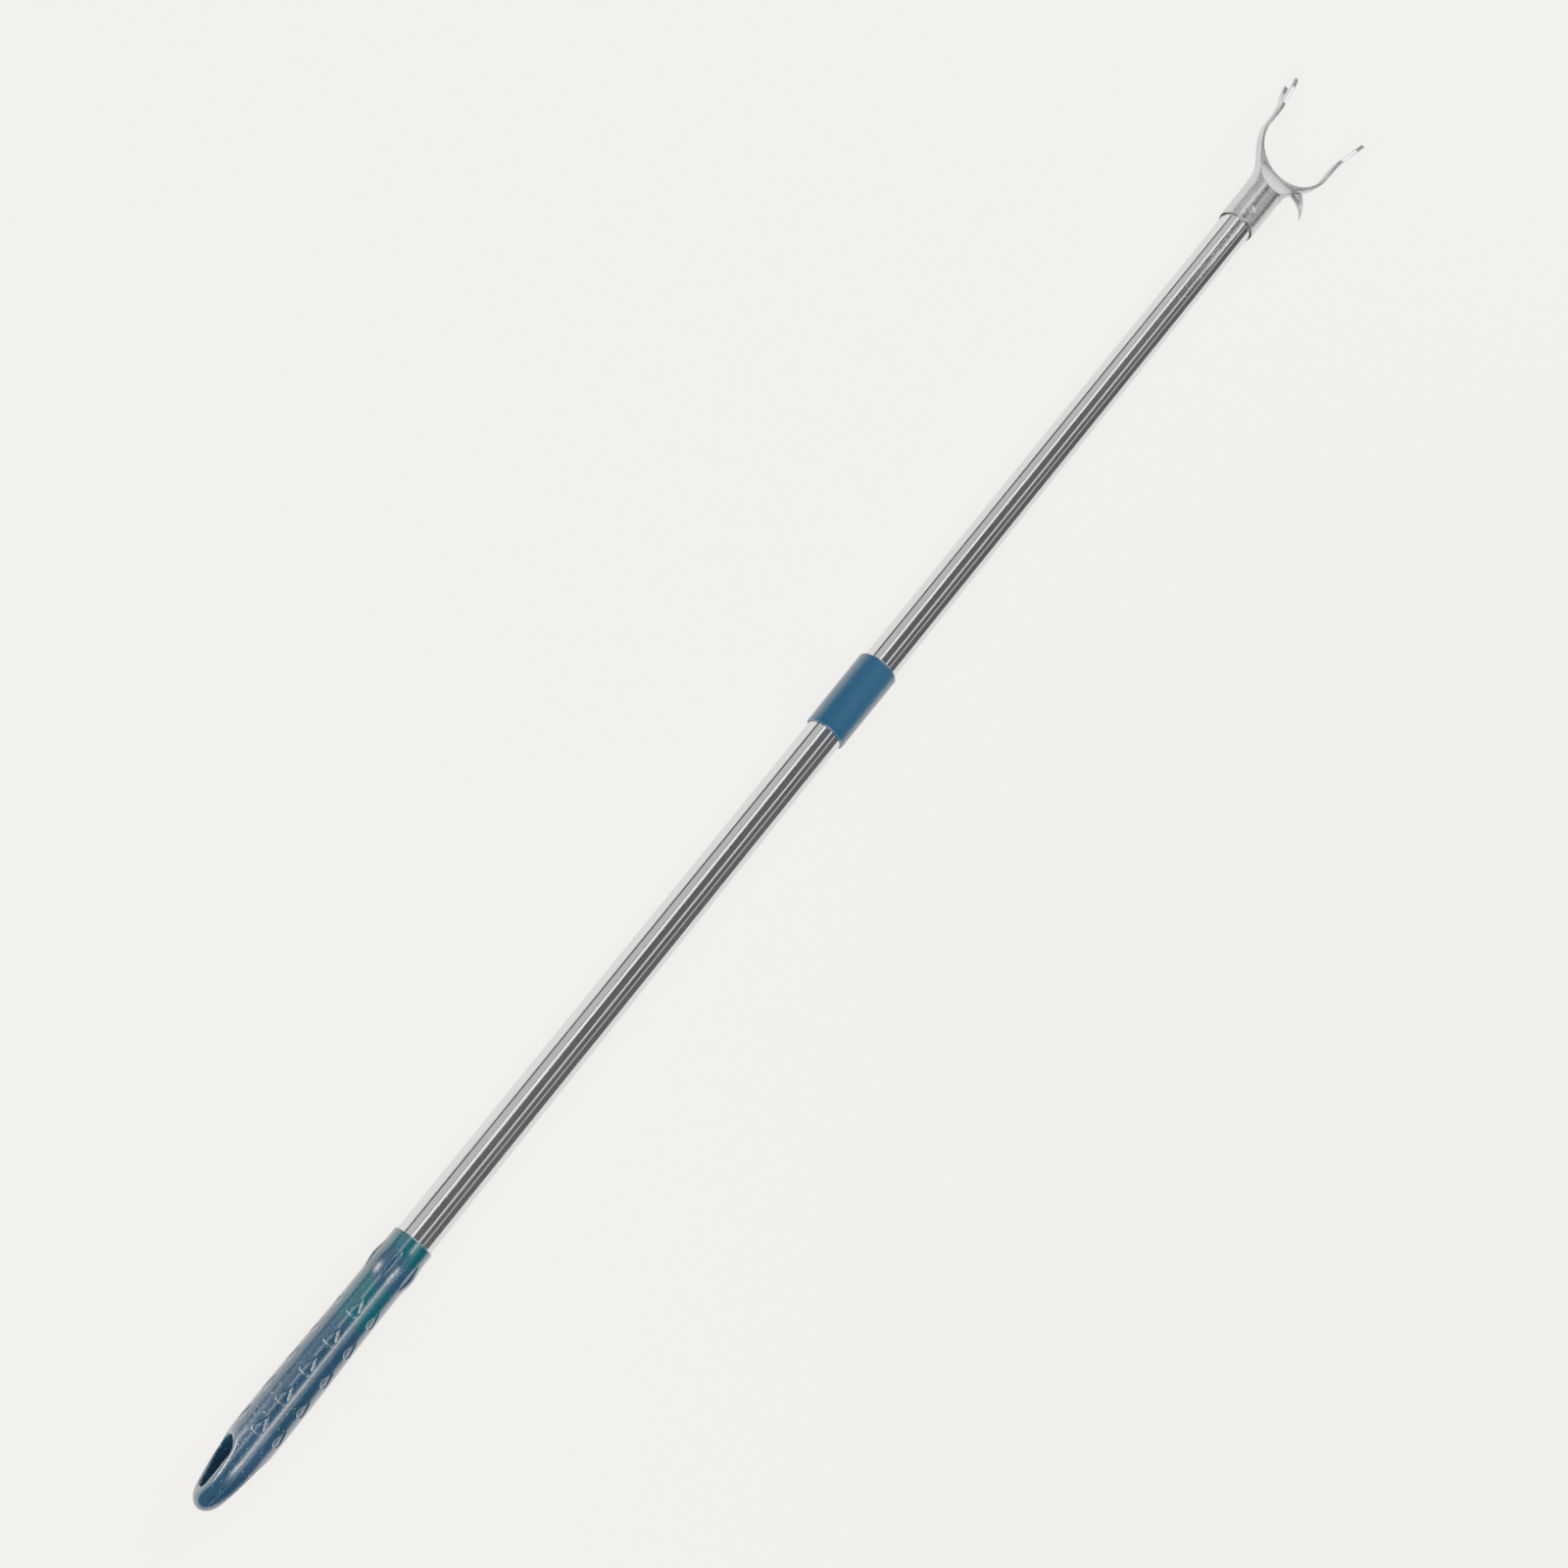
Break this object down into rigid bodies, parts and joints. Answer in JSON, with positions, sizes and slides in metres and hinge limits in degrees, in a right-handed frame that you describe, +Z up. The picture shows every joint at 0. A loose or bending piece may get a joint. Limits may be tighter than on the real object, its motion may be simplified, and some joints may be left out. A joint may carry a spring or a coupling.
{
  "type": "telescopic reach pole",
  "caption": "Two-stage steel pole with a twist lock, a cast Y fork with split tips and a side claw, a plain collar, and a moulded grip with a hanging hole.",
  "frame": {"origin": "middle of the bounding box's bottom face; the pole lies on its side, as on a floor", "axes": "+X along the pole from the grip to the fork's tips; +Z up, square to the flat of the fork; +Y to the side away from the claw"},
  "size_m": [1.071, 0.064, 0.0264],
  "materials": {
    "grip_plastic": "waxy gloss, slightly translucent",
    "collar_plastic": "smooth gloss with fine scratches",
    "lower_tube_steel": "polished along its length",
    "upper_tube_steel": "polished along its length",
    "cast_metal": "satin casting",
    "rivet_metal": "plain rivet",
    "fastener_steel": "zinc plated",
    "nylon": "moulded nylon",
    "inner_plastic": "moulded black plastic",
    "lock_plastic": "moulded blue plastic"
  },
  "bodies": {
    "lower_section": {"grip": "grip_plastic", "tube_end_plug": "inner_plastic", "lower_tube": "lower_tube_steel", "collar": "collar_plastic", "guide_bush": "nylon"},
    "glide": {"glide_ring": "inner_plastic"},
    "upper_section": {"upper_tube": "upper_tube_steel", "cam_plug": "nylon", "cam_plug_pin": "fastener_steel", "retaining_washer": "fastener_steel", "retaining_screw": "fastener_steel", "fork_core": "nylon", "fork_rivet": "rivet_metal", "fork_head": "cast_metal"},
    "lock": {"lock_ring": "lock_plastic"}
  },
  "joints": [
    {"name": "extension", "type": "slide", "parent": "lower_section", "child": "glide", "axis": [1, 0, 0], "range_m": [-0.38, 0]},
    {"name": "twist_lock", "type": "hinge", "parent": "glide", "child": "upper_section", "pos_m": [-0.0605, 0, 0.0132], "axis": [1, 0, 0], "range_deg": [-40, 40]},
    {"name": "lock_ring_turn", "type": "hinge", "parent": "upper_section", "child": "lock", "pos_m": [-0.0455, 0, 0.0138], "axis": [1, 0, 0], "range_deg": [-40, 40]}
  ],
  "couplings": [
    {"joint": "lock_ring_turn", "follows": "twist_lock", "ratio": -1}
  ]
}
